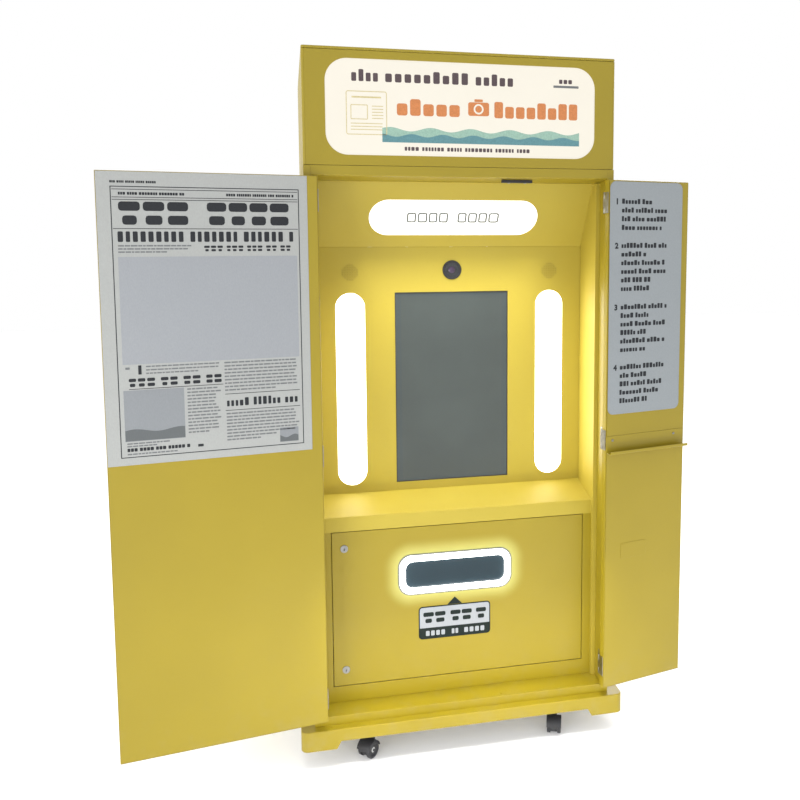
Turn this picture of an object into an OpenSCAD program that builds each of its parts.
// Self-service newspaper photo booth: a sheet-metal cabinet on casters with two
// unequal front doors standing open, a lit sign on top, a camera and touch
// screen in a recess, and a print outlet in a service door below the counter.
// Units are millimetres. +X is to the viewer's right, +Y runs to the back, +Z up.
// The origin is on the floor under the middle of the cabinet body.

/* [Cabinet] */
// Width of the cabinet body over its side panels
cab_w = 920; // [880:5:960]
// Depth of the cabinet body, front plane to rear panel
cab_d = 620; // [600:5:700]
// Thickness of each hollow side wall
wall_t = 20; // [16:1:24]
// Thickness of the sheet metal
sheet = 1.5; // [1:0.1:2]
// Height of the plinth's top above the floor
plinth_top_z = 117; // [112:1:122]
// Height of the sill's top above the floor
sill_z = 143; // [140:1:148]
// Height of the front edge of the sloping counter shelf
shelf_z = 723; // [718:1:728]
// Rise of the counter shelf from its front edge to the back wall
shelf_rise = 36; // [24:1:40]
// Height of the underside of the top rail, the top of the front opening
opening_top_z = 1733; // [1730:1:1736]
// Height of the joint between cabinet and header
header_z = 1761; // [1758:1:1764]
// Height of the header's own panels
header_h = 317; // [310:1:325]
// Thickness of the header's cap
cap_t = 9; // [6:1:12]

/* [Plinth] */
// How far the plinth stands out past each side panel
plinth_side = 41; // [35:1:45]
// How far the plinth stands out in front and behind
plinth_front = 27; // [20:1:30]
// Radius of the plinth's upright corners
plinth_r = 20; // [15:1:25]
// Height of the plinth's feet above the floor
foot_z = 57; // [52:1:62]
// Height of the cut-out apron between the feet
apron_z = 80; // [74:1:86]
// Width of each foot across the front
foot_w = 103; // [90:1:110]

/* [Recess] */
// Depth from the front plane to the back wall of the photo recess
recess_d = 194; // [190:1:210]
// Depth from the front plane to the top edge of the slanted panel
slant_top_y = 85; // [80:1:95]
// Height of the top edge of the slanted panel
slant_top_z = 1725; // [1720:1:1728]
// Height of the bend between slanted panel and back wall
bend_z = 1533; // [1525:1:1540]
// How far the recess linings stand inside the jambs
liner_step = 12; // [8:1:15]
// Depth from the front plane to the lower front frame and service door
lower_y = 74; // [68:1:80]
// Width of the touch screen's window
screen_w = 366; // [360:1:374]
// Height of the bottom of the touch screen's window
screen_z0 = 785; // [780:1:790]
// Height of the top of the touch screen's window
screen_z1 = 1391; // [1386:1:1396]
// Distance from the middle to each upright side light and speaker
side_x = 322; // [315:1:330]
// Width of each upright side light
side_light_w = 90; // [80:1:100]
// Length of the stadium light on the slanted panel
top_light_w = 530; // [500:5:560]
// Height of the stadium light along the slope
top_light_h = 119; // [110:1:130]
// Height of the camera window's centre
camera_z = 1460; // [1450:1:1465]
// Diameter of the camera window
camera_d = 61; // [56:1:66]
// Height of the speaker grilles' centres
speaker_z = 1455; // [1450:1:1460]

/* [Main doors] */
// Thickness of the main doors
door_t = 22; // [20:1:24]
// Width of the left door
left_door_w = 563; // [550:1:570]
// Gap between each door and its jamb
jamb_gap = 6; // [6:1:8]
// Gap where the two doors meet
meet_gap = 10; // [8:1:12]
// Gap above and below the doors
door_gap = 4; // [3:1:5]
// Angle of the left door from closed, as it stands
left_open = 172; // [165:1:175]
// Angle of the right door from closed, as it stands
right_open = 192; // [180:1:194]
// Length of each butt hinge
hinge_len = 62; // [50:2:80]

/* [Service door] */
// Width of the service door
service_w = 796; // [780:1:800]
// Height of the service door's bottom edge
service_z0 = 194; // [190:1:200]
// Height of the service door's top edge
service_z1 = 676; // [670:1:680]
// Distance of the print outlet's centre to the left of the middle
slot_left = 18; // [0:1:30]
// Height of the print outlet's centre
slot_z = 526; // [520:1:532]
// Width of the print outlet's clear window
slot_w = 315; // [300:1:325]
// Height of the print outlet's clear window
slot_h = 84; // [76:1:90]
// Width of the glowing band round the outlet
slot_band = 18; // [14:1:20]
// Width of the rim round the glowing band
slot_rim = 5; // [4:1:6]

/* [Casters] */
// Radius of each caster wheel
wheel_r = 25; // [25:1:26]
// Width of each of the two discs of a caster
wheel_w = 11; // [10:1:12]
// Distance from the middle to each caster's king pin
caster_x = 290; // [280:1:300]
// Trail from king pin to wheel axle
trail = 18; // [16:1:20]

/* [Hidden] */

// Paint and material colours
yellow = [0.93, 0.78, 0.14];
bright_yellow = [0.97, 0.87, 0.30];
steel = [0.72, 0.73, 0.75];
black = [0.08, 0.08, 0.09];
white = [0.97, 0.97, 0.95];
grey = [0.74, 0.76, 0.78];
dark_glass = [0.22, 0.26, 0.25];

$fn = 48;
front_y = -cab_d / 2;          // front plane in the part's frame
in_x = cab_w / 2 - wall_t;     // inner face of each jamb
liner_x = in_x - liner_step;   // inner face of each recess lining
return_d = 60;                 // depth of each jamb
lip_z = service_z1 + 2;        // bottom of the counter shelf's front fold
out_x = cab_w / 2;             // outer face of each side panel
header_top = header_z + header_h;
over = 1;                      // how far a cutter runs past what it cuts

// Doors, closed: x of their edges, and their height
door_z0 = sill_z + door_gap;
door_z1 = opening_top_z - door_gap;
left_door_x = -in_x + jamb_gap;
right_door_x = in_x - jamb_gap;
right_door_w = right_door_x - (left_door_x + left_door_w + meet_gap);

// Butt hinges of the main doors
pin_r = 2.5;                   // hinge pin
pin_fit = 0.05;                // radial running clearance of every pin
knuckle_r = 5;
jamb_knuckle = 20;             // length of each outer knuckle
knuckle_gap = 0.2;             // running gap between knuckles
hinge_x = in_x - 10;           // pin axis, inboard of the jamb
hinge_y = -6;                  // pin axis, in front of the front plane
leaf_t = 2;
leaf_d = 26;                   // depth of each leaf
hinge_z = [door_z0 + 69, (door_z0 + door_z1) / 2 + 2, door_z1 - 67];

// Service door pivots on two pins near its right edge
pivot_r = 3;
pivot_x = service_w / 2 - 6.5;
pivot_y = lower_y + 8;
service_gap = 2;
pan_d = 15;                    // depth of the service door's folded edges
lock_x = -service_w / 2 + 37;
lock_z = [service_z0 + 50, service_z1 - 51];
lock_r = 9.5;
cam_y = lower_y + 20;
cam_t = 3;
cam_len = 45;
cam_w = 14;

// Print outlet and its flap
band_w = slot_w + 2 * slot_band;
band_h = slot_h + 2 * slot_band;
band_r = 36;                   // outer corners of the glowing band
slot_r = 24;                   // corners of the clear window
band_proud = 7;                // how far the glowing band stands out of the door
rim_proud = 3;                 // how far the rim round it stands out
flap_w = slot_w + 10;
flap_h = slot_h + 10;
flap_axis_y = lower_y + 7;
flap_axis_z = slot_z + flap_h / 2;
flap_pin_r = 2;
flap_t = 3;
tab_x = flap_w / 2 + 2.5;      // inner face of each tab that holds the flap

// Equipment inside the lower cabinet
equipment_z = sill_z + 4;      // top of the equipment shelf
printer_y = 235;               // front of the printer

// Monitor behind the recess's back panel
glass_y = recess_d + sheet + 2;
glass_t = 4;
monitor_back = recess_d + 48;
camera_back = 12;              // depth of the camera window

// Slanted panel
slant_h = norm([recess_d - slant_top_y, slant_top_z - bend_z]);
slant_lean = atan2(recess_d - slant_top_y, slant_top_z - bend_z);
top_light_up = slant_h * 0.46; // light's centre, measured up the slope

// Rear panel: vents, and the mains inlet
vent_x = 150;                  // middle of each bank of slots
vent_z = [240, 1480];          // lowest slot of each bank
vent_rows = 9;
vent_pitch = 14;
inlet_x = 330;
inlet_z = 190;
inlet_size = [48, 56];

// Twin-disc casters
plate_z = 84;                  // top of the caster plates
caster_y = [22, cab_d - 22];   // king pins, from the front plane
king_r = 5;
axle_r = 4;
core_w = 20;                   // width of the body between the two discs
hood_r = wheel_r + 3;          // outside of the hood over the discs
// Direction each caster trails in, turned from the front
turn_front_left = -45;
turn_front_right = -20;
turn_rear_left = 150;
turn_rear_right = 200;

// ---- Helpers ----

// Everything is drawn from the front plane, then moved so that the origin is central
module cabinet_frame() {
    translate([0, front_y, 0]) children();
}

module block(lo, hi) {
    translate(lo) cube(hi - lo);
}

module rounded(w, h, r) {
    square([w - 2 * r, h], center = true);
    square([w, h - 2 * r], center = true);
    for (i = [-1, 1], j = [-1, 1])
        translate([i * (w / 2 - r), j * (h / 2 - r)]) circle(r);
}

// Extrudes a shape drawn in X and Z back from a face at depth y
module upright(y, t) {
    translate([0, y + t, 0]) rotate([90, 0, 0]) linear_extrude(t) children();
}

// Extrudes a profile drawn in Y and Z along X
module across(w) {
    rotate([90, 0, 90]) linear_extrude(w) children();
}

// Extrudes a shape drawn on the slanted panel's face, from its lower edge
module on_slant(back, t) {
    translate([0, recess_d, bend_z]) rotate([90 + slant_lean, 0, 0])
        translate([0, 0, -back - t]) linear_extrude(t) children();
}

module both_sides() {
    children();
    mirror([1, 0, 0]) children();
}

module left_swing() {
    translate([-hinge_x, hinge_y, 0]) rotate([0, 0, -left_open])
        translate([hinge_x, -hinge_y, 0]) children();
}

module right_swing() {
    translate([hinge_x, hinge_y, 0]) rotate([0, 0, right_open])
        translate([-hinge_x, -hinge_y, 0]) children();
}

// ---- Plinth and base ----

module plinth_outline(inset) {
    w = cab_w + 2 * plinth_side - 2 * inset;
    d = cab_d + 2 * plinth_front - 2 * inset;
    translate([0, cab_d / 2]) rounded(w, d, plinth_r - inset);
}

// Trapezoid cut-out between two feet, drawn across a face of the given width
module apron_cut(face_w) {
    half = face_w / 2 - foot_w;
    slope = 13;
    polygon([[-half, foot_z - over], [half, foot_z - over],
             [half - slope, apron_z], [-half + slope, apron_z]]);
}

module plinth_skirt() {
    long_w = cab_w + 2 * plinth_side;
    side_w = cab_d + 2 * plinth_front;
    color(yellow) cabinet_frame() difference() {
        translate([0, 0, foot_z]) linear_extrude(plinth_top_z - sheet - foot_z)
            difference() {
                plinth_outline(0);
                plinth_outline(sheet);
            }
        upright(-plinth_front - over, side_w + 2 * over) apron_cut(long_w);
        translate([-long_w / 2 - over, cab_d / 2, 0]) rotate([90, 0, 90])
            linear_extrude(long_w + 2 * over) apron_cut(side_w);
    }
}

module plinth_top() {
    color(yellow) cabinet_frame()
        translate([0, 0, plinth_top_z - sheet]) linear_extrude(sheet) plinth_outline(0);
}

module base_frame() {
    tube = 30;
    half = 34;
    wall = 2.5;
    top = plinth_top_z - sheet;
    rail_x = out_x - 60;
    color(steel) cabinet_frame() {
        for (y = caster_y) difference() {
            block([-rail_x, y - half, plate_z], [rail_x, y + half, top]);
            block([-rail_x - over, y - half + wall, plate_z + wall],
                  [rail_x + over, y + half - wall, top - wall]);
        }
        for (x = [-rail_x, -tube / 2, rail_x - tube]) difference() {
            block([x, caster_y[0] + half, plate_z], [x + tube, caster_y[1] - half, top]);
            block([x + wall, caster_y[0], plate_z + wall],
                  [x + tube - wall, caster_y[1], top - wall]);
        }
    }
}

// ---- Casters ----

module caster_plates() {
    plate = 62;
    plate_t = 3;
    socket_top = 58;
    pin_end = 30;
    color(steel) cabinet_frame() for (x = [-caster_x, caster_x], y = caster_y)
        translate([x, y, 0]) {
            translate([-plate / 2, -plate / 2, plate_z - plate_t])
                cube([plate, plate, plate_t]);
            translate([0, 0, pin_end]) cylinder(r = king_r, h = plate_z - plate_t - pin_end);
            translate([0, 0, socket_top + 1]) cylinder(r = king_r + 3, h = 3);
        }
}

// Places a caster's own frame: king pin at the origin, trailing to the front
module at_caster(x, y, turn) {
    translate([x, y, 0]) rotate([0, 0, turn]) children();
}

// A cylinder along the axle, centred on it
module on_axle(r, w) {
    translate([-w / 2, -trail, wheel_r]) rotate([0, 90, 0]) cylinder(r = r, h = w);
}

// Body of a twin-disc caster: core between the discs, hood over them, and axle
module caster_body() {
    hood_w = core_w + 2 * wheel_w + 4;
    hood_t = 2;
    socket_r = 9;
    difference() {
        union() {
            on_axle(wheel_r - 4, core_w);
            intersection() {
                on_axle(hood_r, core_w);
                block([-core_w, -trail - hood_r, wheel_r], [core_w, 0, 2 * hood_r]);
            }
            translate([0, 0, wheel_r]) cylinder(r = socket_r, h = hood_r + 5);
            difference() {
                on_axle(hood_r, hood_w);
                on_axle(hood_r - hood_t, hood_w + 2 * over);
                block([-hood_w, -trail - hood_r - over, -hood_r],
                      [hood_w, -trail + hood_r + over, wheel_r + 4]);
            }
        }
        translate([0, 0, wheel_r + 4]) cylinder(r = king_r + pin_fit, h = 2 * hood_r);
    }
    on_axle(axle_r, core_w + 2 * wheel_w + 2);
}

module fork(x, y, turn) {
    color(black) cabinet_frame() at_caster(x, y, turn) caster_body();
}

// The two discs of one caster, dished on their outer faces
module wheel(x, y, turn) {
    dish = 3;
    color(black) cabinet_frame() at_caster(x, y, turn) both_sides()
        translate([core_w / 2 + 0.5, -trail, wheel_r]) rotate([0, 90, 0]) rotate_extrude()
            polygon([[axle_r + pin_fit, 0], [wheel_r, 0], [wheel_r, wheel_w - 2],
                     [wheel_r - 2, wheel_w], [wheel_r - 7, wheel_w],
                     [wheel_r - 9, wheel_w - dish], [axle_r + pin_fit, wheel_w - dish]]);
}

// ---- Cabinet body ----

// A hollow wall: outer skin, folded front edge and the jamb's return
module side_wall() {
    block([-out_x, 0, plinth_top_z], [-out_x + sheet, cab_d - sheet, header_z]);
    block([-out_x + sheet, 0, plinth_top_z], [-in_x - sheet, sheet, header_z]);
    block([-in_x - sheet, 0, plinth_top_z], [-in_x, return_d, header_z]);
    block([-out_x + sheet, cab_d - 2 * sheet, plinth_top_z],
          [-in_x, cab_d - sheet, header_z]);
}

module jamb_holes() {
    for (z = [door_z0 + 6, door_z1 - 12])
        translate([-out_x + 2 * sheet, 12, z]) rotate([0, 90, 0])
            cylinder(r = 3, h = wall_t, $fn = 24);
}

module left_side_panel() {
    color(yellow) cabinet_frame() difference() {
        side_wall();
        jamb_holes();
    }
}

module right_side_panel() {
    color(yellow) cabinet_frame() mirror([1, 0, 0]) difference() {
        side_wall();
        jamb_holes();
    }
}

module vent_slots(z) {
    slot = [150, 6];
    for (x = [-vent_x, vent_x], i = [0 : vent_rows - 1])
        translate([x, z + i * vent_pitch]) rounded(slot[0], slot[1], slot[1] / 2 - 0.1);
}

module rear_panel() {
    color(yellow) cabinet_frame() upright(cab_d - sheet, sheet) difference() {
        translate([-out_x, plinth_top_z]) square([cab_w, header_z - plinth_top_z]);
        for (z = vent_z) vent_slots(z);
        translate([inlet_x, inlet_z]) square(inlet_size, center = true);
    }
}

// The strip above the doors and the ceiling of the recess, one folded sheet
module top_rail() {
    back = slant_top_y - 1;
    color(yellow) cabinet_frame() translate([-in_x, 0, 0]) across(2 * in_x)
        polygon([[0, header_z], [0, opening_top_z], [sheet, opening_top_z],
                 [back, slant_top_z], [back, slant_top_z + sheet],
                 [sheet, opening_top_z + sheet], [sheet, header_z]]);
}

module slanted_panel() {
    color(bright_yellow) cabinet_frame() on_slant(0, sheet) difference() {
        translate([-liner_x, 0]) square([2 * liner_x, slant_h]);
        translate([0, top_light_up])
            rounded(top_light_w + 1, top_light_h + 1, top_light_h / 2 + 0.4);
    }
}

// A round field of holes, as punched for a speaker
module speaker_holes() {
    pitch = 7.5;
    reach = 3;
    hole_r = 1.9;
    for (i = [-reach : reach], j = [-reach : reach]) if (norm([i, j]) < reach + 0.5)
        translate([i * pitch, j * pitch]) circle(hole_r, $fn = 16);
}

module recess_back_panel() {
    light_h = screen_z1 - screen_z0;
    light_z = (screen_z0 + screen_z1) / 2;
    color(bright_yellow) cabinet_frame() upright(recess_d, sheet) difference() {
        translate([-liner_x, shelf_z + shelf_rise])
            square([2 * liner_x, bend_z - shelf_z - shelf_rise]);
        translate([0, light_z]) square([screen_w, light_h], center = true);
        translate([0, camera_z]) circle(d = camera_d - 4);
        for (x = [-side_x, side_x]) {
            translate([x, light_z]) rounded(side_light_w + 1, light_h + 1, side_light_w / 2 + 0.4);
            translate([x, speaker_z]) speaker_holes();
        }
    }
}

// Side linings of the recess, from the jambs' returns to the back wall
module recess_liners() {
    color(bright_yellow) cabinet_frame() both_sides() {
        block([-in_x - sheet, return_d, sill_z], [-liner_x, return_d + sheet, slant_top_z]);
        block([-liner_x - sheet, return_d + sheet, sill_z], [-liner_x, recess_d, slant_top_z]);
    }
}

module counter_shelf() {
    back = recess_d + sheet;
    color(bright_yellow) cabinet_frame() translate([-liner_x, 0, 0]) across(2 * liner_x)
        polygon([[lower_y, lip_z], [lower_y, shelf_z], [back, shelf_z + shelf_rise],
                 [back, shelf_z + shelf_rise - sheet],
                 [lower_y + sheet, shelf_z - sheet], [lower_y + sheet, lip_z]]);
}

module lower_front_frame() {
    keep = 18;
    half = service_w / 2 + service_gap;
    color(yellow) cabinet_frame() {
        upright(lower_y, sheet) difference() {
            translate([-liner_x, sill_z]) square([2 * liner_x, lip_z - sill_z]);
            translate([-half, service_z0 - service_gap])
                square([2 * half, service_z1 - service_z0 + 2 * service_gap]);
        }
        // Folded edge that the lock cams catch behind
        block([-half - sheet, lower_y + sheet, service_z0],
              [-half, lower_y + sheet + keep, service_z1]);
    }
}

module sill() {
    bolt_hole_x = 112;
    color(yellow) cabinet_frame() difference() {
        union() {
            block([-in_x, 0, plinth_top_z], [in_x, sheet, sill_z - sheet]);
            block([-in_x, 0, sill_z - sheet], [in_x, lower_y, sill_z]);
        }
        translate([bolt_hole_x, 12, sill_z - 10]) cylinder(r = 4, h = 20, $fn = 24);
    }
}

// ---- Header ----

module sign_outline(grow) {
    w = cab_w - 127;
    h = 265;
    translate([0, header_top - 22 - h / 2])
        rounded(w + 2 * grow, h + 2 * grow, 62 + grow);
}

// Box behind the sign, closed by a cap whose lip stands flush with the front
module header_shell() {
    color(yellow) cabinet_frame() {
        difference() {
            block([-out_x, sheet, header_z], [out_x, cab_d, header_top]);
            block([-out_x + sheet, 0, header_z + sheet],
                  [out_x - sheet, cab_d - sheet, header_top + over]);
        }
        difference() {
            block([-out_x, 0, header_top], [out_x, cab_d, header_top + cap_t]);
            block([-out_x + sheet, sheet, header_top - over],
                  [out_x - sheet, cab_d - sheet, header_top + cap_t - sheet]);
        }
    }
}

module header_front() {
    color(yellow) cabinet_frame() {
        upright(0, sheet) difference() {
            translate([-out_x, header_z]) square([cab_w, header_h]);
            sign_outline(0);
        }
        both_sides()
            block([-out_x + sheet, sheet, header_z + sheet], [-out_x + 2 * sheet, 20, header_top]);
    }
}

module sign_panel() {
    color(white) cabinet_frame() upright(sheet, 4) sign_outline(12);
}

module sign_light_bars() {
    half = 370;
    bar = [15, 20];
    y = 90;
    pitch = 85;
    color(white) cabinet_frame() for (z = [header_z + 75 : pitch : header_top - bar[1]])
        block([-half, y, z], [half, y + bar[0], z + bar[1]]);
}

// ---- Lights, camera, screen and speakers in the recess ----

module top_light() {
    color(white) cabinet_frame() on_slant(-1, 4)
        translate([0, top_light_up]) rounded(top_light_w, top_light_h, top_light_h / 2 - 0.1);
}

module side_light(x) {
    light_h = screen_z1 - screen_z0;
    color(white) cabinet_frame() translate([x, 0, screen_z0 + light_h / 2])
        upright(recess_d - 1, 4) rounded(side_light_w, light_h, side_light_w / 2 - 0.1);
}

module left_light() {
    side_light(-side_x);
}

module right_light() {
    side_light(side_x);
}

// Open metal boxes that hold the light sources behind each diffuser
module tray(w, h, depth) {
    wall = 1;
    difference() {
        translate([-w / 2, 0, -h / 2]) cube([w, depth, h]);
        translate([-w / 2 + wall, -over, -h / 2 + wall])
            cube([w - 2 * wall, depth - wall + over, h - 2 * wall]);
    }
}

module light_trays() {
    light_h = screen_z1 - screen_z0;
    margin = 12;
    behind = 3.2;
    deep = 30;
    color(steel) cabinet_frame() {
        for (x = [-side_x, side_x])
            translate([x, recess_d + behind, screen_z0 + light_h / 2])
                tray(side_light_w + margin, light_h + margin, deep);
        translate([0, recess_d, bend_z]) rotate([slant_lean, 0, 0])
            translate([0, behind, top_light_up])
                tray(top_light_w + margin, top_light_h + margin, deep);
    }
}

module camera_window() {
    bezel = 5;
    proud = 3;
    color(black) cabinet_frame() translate([0, 0, camera_z]) {
        upright(recess_d - proud, proud) difference() {
            circle(d = camera_d);
            circle(d = camera_d - 2 * bezel);
        }
        upright(recess_d - proud / 2, camera_back) circle(d = camera_d - 2 * bezel);
    }
}

module camera_module() {
    lens = 24;
    body = [70, 40, 60];
    color(black) cabinet_frame() translate([0, recess_d + camera_back - 1.5, camera_z]) {
        upright(0, lens) circle(d = 44);
        translate([-body[0] / 2, lens, -body[2] / 2]) cube(body);
    }
}

module monitor_housing() {
    frame = 18;
    color(black) cabinet_frame() difference() {
        block([-screen_w / 2 - frame, recess_d + sheet, screen_z0 - frame],
              [screen_w / 2 + frame, monitor_back, screen_z1 + frame]);
        block([-screen_w / 2, recess_d, screen_z0],
              [screen_w / 2, glass_y + glass_t, screen_z1]);
    }
}

module monitor_screen() {
    color(dark_glass) cabinet_frame()
        block([-screen_w / 2, glass_y, screen_z0],
              [screen_w / 2, glass_y + glass_t, screen_z1]);
}

module speakers() {
    rim_r = 38;
    cone_r = 31;
    magnet_r = 24;
    spacer = 4;
    basket = 3;
    color(black) cabinet_frame() for (x = [-side_x, side_x])
        translate([x, recess_d + sheet, speaker_z]) {
            upright(0, spacer) difference() {
                circle(rim_r);
                circle(cone_r);
            }
            upright(spacer, basket) circle(rim_r);
            upright(spacer + basket, 25) circle(magnet_r);
        }
}

// ---- Door fittings on the cabinet ----

module door_catch() {
    catch_x = 166;
    catch = [94, 13, 8];
    color(black) cabinet_frame()
        translate([catch_x - catch[0] / 2, door_t + 4, opening_top_z - door_gap - catch[2]])
            cube(catch);
}

// Fixed half of a butt hinge: leaf on the jamb, outer knuckles and the pin
module jamb_leaf(z) {
    low = z - hinge_len / 2;
    for (end = [0, hinge_len - jamb_knuckle]) translate([-hinge_x, hinge_y, low + end])
        difference() {
            union() {
                cylinder(r = knuckle_r, h = jamb_knuckle);
                translate([hinge_x - in_x, -leaf_t / 2, 0])
                    cube([in_x - hinge_x, leaf_t, jamb_knuckle]);
            }
            translate([0, 0, -over]) cylinder(r = pin_r, h = jamb_knuckle + 2 * over);
        }
    block([-in_x, hinge_y - leaf_t / 2, low],
          [-in_x + leaf_t, leaf_d, z + hinge_len / 2]);
    translate([-hinge_x, hinge_y, low]) cylinder(r = pin_r, h = hinge_len);
}

// Moving half of a butt hinge: leaf on the door's edge and the middle knuckle
module door_leaf(z) {
    knuckle = hinge_len - 2 * jamb_knuckle - 2 * knuckle_gap;
    difference() {
        union() {
            translate([-hinge_x, hinge_y, z - knuckle / 2]) cylinder(r = knuckle_r, h = knuckle);
            block([left_door_x - leaf_t, hinge_y - leaf_t / 2, z - knuckle / 2],
                  [-hinge_x, hinge_y + leaf_t / 2, z + knuckle / 2]);
        }
        translate([-hinge_x, hinge_y, z - knuckle]) cylinder(r = pin_r + pin_fit, h = 2 * knuckle);
    }
    block([left_door_x - leaf_t, hinge_y - leaf_t / 2, z - knuckle / 2],
          [left_door_x, 0, z + knuckle / 2]);
    block([left_door_x - leaf_t, 0, z - hinge_len / 2],
          [left_door_x, door_t - 3, z + hinge_len / 2]);
}

module jamb_hinges() {
    color(steel) cabinet_frame() both_sides() for (z = hinge_z) jamb_leaf(z);
}

module left_door_hinges() {
    color(steel) cabinet_frame() left_swing() for (z = hinge_z) door_leaf(z);
}

module right_door_hinges() {
    color(steel) cabinet_frame() right_swing() mirror([1, 0, 0])
        for (z = hinge_z) door_leaf(z);
}

// Brackets and pins that the service door turns on
module service_pivots() {
    tab = 3;
    pin_in = 12;
    low = service_z0 - service_gap;
    high = service_z1 + service_gap;
    color(steel) cabinet_frame() {
        for (z = [low - tab, high])
            block([pivot_x - 12, lower_y + sheet, z], [pivot_x + 30, pivot_y + 10, z + tab]);
        for (z = [low - over, service_z1 - pin_in]) translate([pivot_x, pivot_y, z])
            cylinder(r = pivot_r, h = pin_in + service_gap + over);
    }
}

// ---- Main doors ----

// A hollow door: pan with folded edges, closed by a flat lining on its inner side
module door_box(x0, w) {
    block([x0, 0, door_z0], [x0 + w, sheet, door_z1]);
    difference() {
        block([x0, sheet, door_z0], [x0 + w, door_t - sheet, door_z1]);
        block([x0 + sheet, 0, door_z0 + sheet], [x0 + w - sheet, door_t, door_z1 - sheet]);
    }
    block([x0, door_t - sheet, door_z0], [x0 + w, door_t, door_z1]);
}

module left_door() {
    color(yellow) cabinet_frame() left_swing() door_box(left_door_x, left_door_w);
}

module poster_panel() {
    poster_w = 531;
    poster_h = 762;
    free_edge = left_door_x + left_door_w - 2;
    color(white) cabinet_frame() left_swing()
        block([free_edge - poster_w, door_t, door_z1 - 2 - poster_h],
              [free_edge, door_t + 1, door_z1 - 2]);
}

module right_door() {
    color(yellow) cabinet_frame() right_swing()
        door_box(right_door_x - right_door_w, right_door_w);
}

module instruction_panel() {
    panel_w = 268;
    panel_h = 706;
    edge = 3;
    color(grey) cabinet_frame() right_swing()
        translate([right_door_x - edge - panel_w / 2, 0, door_z1 - 4 - panel_h / 2])
            upright(door_t, 2) rounded(panel_w, panel_h, 20);
}

// Angle-section ledge under the instruction panel, with its two screw heads
module ledge() {
    ledge_w = right_door_w - 4;
    ledge_z = 900;
    rise = 52;
    reach = 26;
    lip = 9;
    head = 2.5;
    screw_z = 39;
    color(yellow) cabinet_frame() right_swing() translate([right_door_x - ledge_w, door_t, ledge_z]) {
        cube([ledge_w, sheet, rise]);
        cube([ledge_w, reach, sheet]);
        translate([0, reach - sheet, 0]) cube([ledge_w, sheet, lip]);
        for (x = [38, ledge_w - 22]) translate([x, sheet + head, screw_z])
            rotate([90, 0, 0]) cylinder(r = 4, h = head);
    }
}

module blanking_plate() {
    plate = [95, 1, 49];
    color(yellow) cabinet_frame() right_swing()
        translate([right_door_x - 59 - plate[0], door_t, 558]) cube(plate);
}

// ---- Service door, print outlet and locks ----

module service_door() {
    half = service_w / 2;
    tab_t = 2;
    hole_l = 10;
    color(yellow) cabinet_frame() {
        difference() {
            union() {
                upright(lower_y, sheet) difference() {
                    translate([-half, service_z0]) square([service_w, service_z1 - service_z0]);
                    translate([-slot_left, slot_z]) rounded(band_w, band_h, band_r);
                }
                difference() {
                    block([-half, lower_y + sheet, service_z0], [half, lower_y + pan_d, service_z1]);
                    block([-half + sheet, lower_y, service_z0 + sheet],
                          [half - sheet, lower_y + pan_d + over, service_z1 - sheet]);
                }
            }
            for (z = lock_z) translate([lock_x, lower_y - over, z]) rotate([-90, 0, 0])
                cylinder(r = lock_r + pin_fit, h = hole_l);
            for (z = [service_z0, service_z1]) translate([pivot_x, pivot_y, z - hole_l / 2])
                cylinder(r = pivot_r + pin_fit, h = hole_l);
        }
        // Tabs that carry the flap's pins
        translate([-slot_left, 0, 0]) both_sides() difference() {
            block([tab_x, lower_y + sheet, flap_axis_z - 8],
                  [tab_x + tab_t, flap_axis_y + 7, flap_axis_z + slot_band + 1]);
            translate([tab_x - over, flap_axis_y, flap_axis_z]) rotate([0, 90, 0])
                cylinder(r = flap_pin_r + pin_fit, h = tab_t + 2 * over);
        }
    }
}

// Extrudes a ring round the print outlet, standing proud of the service door
module outlet_ring(proud, t) {
    cabinet_frame() translate([-slot_left, 0, slot_z]) upright(lower_y - proud, t) children();
}

module slot_surround() {
    color(grey) outlet_ring(rim_proud, rim_proud) difference() {
        rounded(band_w + 2 * slot_rim, band_h + 2 * slot_rim, band_r + slot_rim - 1);
        rounded(band_w, band_h, band_r);
    }
}

module slot_light() {
    slip = 0.2;
    color(white) outlet_ring(band_proud, band_proud + sheet) difference() {
        rounded(band_w - 2 * slip, band_h - 2 * slip, band_r - slip);
        rounded(slot_w, slot_h, slot_r);
    }
}

module arrow_label() {
    label_w = 229;
    label_h = 105;
    label_z = 367;
    arrow_w = 46;
    arrow_h = 24;
    color(white) cabinet_frame() translate([-slot_left - 3, 0, label_z]) upright(lower_y - 1, 1) {
        rounded(label_w, label_h, 12);
        translate([0, label_h / 2])
            polygon([[-arrow_w / 2, -over], [arrow_w / 2, -over], [0, arrow_h]]);
    }
}

// Smoked flap with a thickened top edge, and its pins
module delivery_flap() {
    plate_y = lower_y + 3;
    edge_r = 3.5;
    pin_reach = tab_x + 4;
    color(dark_glass) cabinet_frame() translate([-slot_left, 0, 0]) {
        translate([0, 0, slot_z]) upright(plate_y, flap_t) rounded(flap_w, flap_h, slot_r - 2);
        translate([-flap_w / 2, flap_axis_y, flap_axis_z]) rotate([0, 90, 0])
            cylinder(r = edge_r, h = flap_w);
        translate([-pin_reach, flap_axis_y, flap_axis_z]) rotate([0, 90, 0])
            cylinder(r = flap_pin_r, h = 2 * pin_reach);
    }
}

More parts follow.
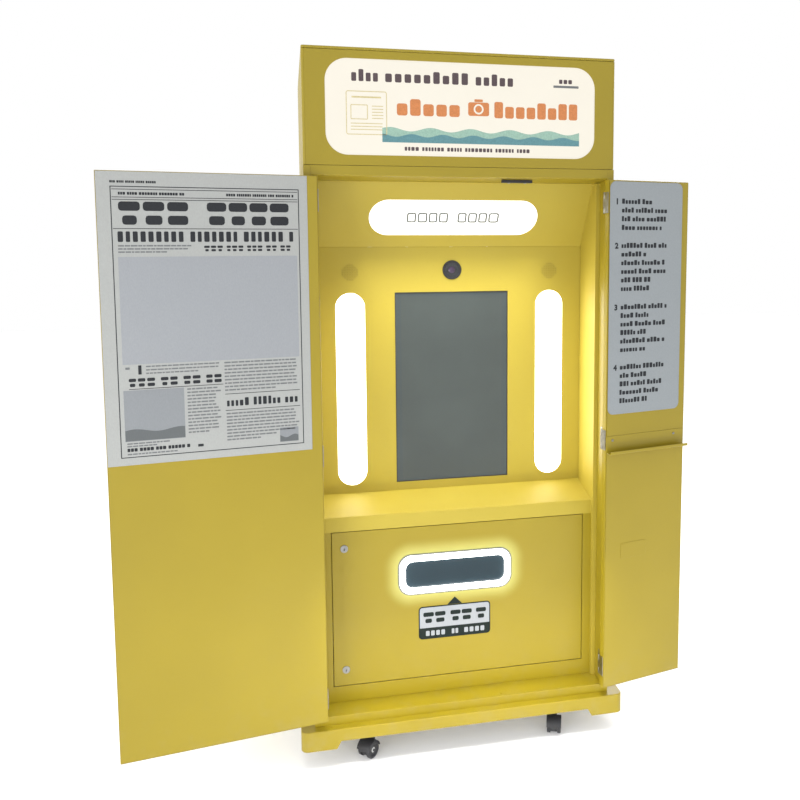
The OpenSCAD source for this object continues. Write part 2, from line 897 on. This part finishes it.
// Cam lock, drawn unlocked with its cam upright
module lock(z) {
    head_t = 2;
    clear = 0.4;
    face_y = lower_y - clear;
    key = [2.4, 10];
    key_deep = 6;
    color(steel) cabinet_frame() translate([lock_x, 0, z]) {
        difference() {
            union() {
                upright(face_y - head_t, head_t) circle(lock_r + 2);
                upright(face_y, cam_y - face_y) circle(lock_r);
            }
            upright(face_y - head_t - over, head_t + over + key_deep) square(key, center = true);
        }
        upright(cam_y, cam_t) {
            circle(cam_w / 2);
            translate([-cam_w / 2, 0]) square([cam_w, cam_len - cam_w / 2]);
            translate([0, cam_len - cam_w / 2]) circle(cam_w / 2);
        }
    }
}

module upper_lock() {
    lock(lock_z[1]);
}

module lower_lock() {
    lock(lock_z[0]);
}

// ---- Equipment inside ----

module equipment_shelf() {
    low = plinth_top_z;
    top = equipment_z;
    half = in_x - sheet - 20;
    front = 100;
    rear = cab_d - 20;
    color(steel) cabinet_frame() {
        block([-half, front, top - sheet], [half, rear, top]);
        for (x = [-half, half - sheet]) block([x, front, low], [x + sheet, rear, top - sheet]);
    }
}

// Printer case, open underneath, with a mouth that feeds the chute
module printer() {
    half = 245;
    deep = 350;
    high = 370;
    case = 4;
    mouth = [330, 60, 22];
    mouth_z = high - 40;
    tray = [2 * half - 20, 8, 75];
    color(grey) cabinet_frame() translate([-slot_left, printer_y, equipment_z]) {
        difference() {
            block([-half, 0, 0], [half, deep, high]);
            block([-half + case, case, -over], [half - case, deep - case, mouth_z - 10]);
            translate([-mouth[0] / 2, -over, mouth_z]) cube(mouth);
        }
        translate([-tray[0] / 2, -tray[1], 20]) cube(tray);
    }
}

// Sloping tray that carries each print from the printer to the outlet
module output_chute() {
    half = tab_x + 6;
    rise = 40;
    y0 = lower_y + pan_d + 3;
    y1 = printer_y;
    z0 = slot_z - flap_h / 2 - 12;
    z1 = z0 + 26;
    color(steel) cabinet_frame() translate([-slot_left, 0, 0]) {
        translate([-half, 0, 0]) across(2 * half)
            polygon([[y0, z0], [y1, z1], [y1, z1 + sheet], [y0, z0 + sheet]]);
        for (x = [-half - sheet, half]) translate([x, 0, 0]) across(sheet)
            polygon([[y0, z0], [y1, z1], [y1, z1 + rise], [y0, z0 + rise]]);
    }
}

// Boxes hung on the back of the monitor
module rear_box(x, z, size) {
    cabinet_frame() translate([x, monitor_back + 4, z]) cube(size);
}

module mini_pc() {
    color(black) rear_box(-100, 1150, [200, 40, 200]);
}

module power_supply() {
    color(steel) rear_box(60, 880, [115, 50, 215]);
}

module cooling_fans() {
    size = 120;
    deep = 25;
    hub_r = 20;
    spoke = 6;
    fan_z = vent_z[1] + vent_pitch * (vent_rows - 1) / 2;
    color(black) cabinet_frame() for (x = [-vent_x, vent_x])
        translate([x, cab_d - sheet - deep, fan_z]) rotate([-90, 0, 0]) difference() {
            translate([-size / 2, -size / 2, 0]) cube([size, size, deep]);
            difference() {
                translate([0, 0, -over]) cylinder(r = size / 2 - 4, h = deep + 2 * over);
                translate([0, 0, -over]) cylinder(r = hub_r, h = deep + 2 * over);
                for (a = [0 : 60 : 300]) rotate([0, 0, a])
                    translate([0, -spoke / 2, 4]) cube([size / 2, spoke, deep - 11]);
            }
        }
}

module power_inlet() {
    flange = 5;
    flange_t = 3;
    socket = [26, 19];
    color(black) cabinet_frame() translate([inlet_x, 0, inlet_z]) difference() {
        union() {
            upright(cab_d - 30, 30) square(inlet_size, center = true);
            upright(cab_d, flange_t)
                square([inlet_size[0] + 2 * flange, inlet_size[1] + 2 * flange], center = true);
        }
        translate([0, 0, -12.5]) upright(cab_d - 16, 20) square(socket, center = true);
    }
}

plinth_skirt();
plinth_top();
base_frame();
caster_plates();
left_side_panel();
right_side_panel();
rear_panel();
top_rail();
slanted_panel();
recess_back_panel();
recess_liners();
counter_shelf();
lower_front_frame();
sill();
header_shell();
header_front();
sign_panel();
sign_light_bars();
top_light();
left_light();
right_light();
light_trays();
camera_window();
camera_module();
monitor_housing();
monitor_screen();
speakers();
door_catch();
jamb_hinges();
service_pivots();
equipment_shelf();
printer();
output_chute();
mini_pc();
power_supply();
cooling_fans();
power_inlet();
left_door();
poster_panel();
left_door_hinges();
right_door();
instruction_panel();
ledge();
blanking_plate();
right_door_hinges();
service_door();
slot_surround();
slot_light();
arrow_label();
delivery_flap();
upper_lock();
lower_lock();
fork(-caster_x, caster_y[0], turn_front_left);  // fork_front_left
fork(caster_x, caster_y[0], turn_front_right);  // fork_front_right
fork(-caster_x, caster_y[1], turn_rear_left);  // fork_rear_left
fork(caster_x, caster_y[1], turn_rear_right);  // fork_rear_right
wheel(-caster_x, caster_y[0], turn_front_left);  // wheel_front_left
wheel(caster_x, caster_y[0], turn_front_right);  // wheel_front_right
wheel(-caster_x, caster_y[1], turn_rear_left);  // wheel_rear_left
wheel(caster_x, caster_y[1], turn_rear_right);  // wheel_rear_right
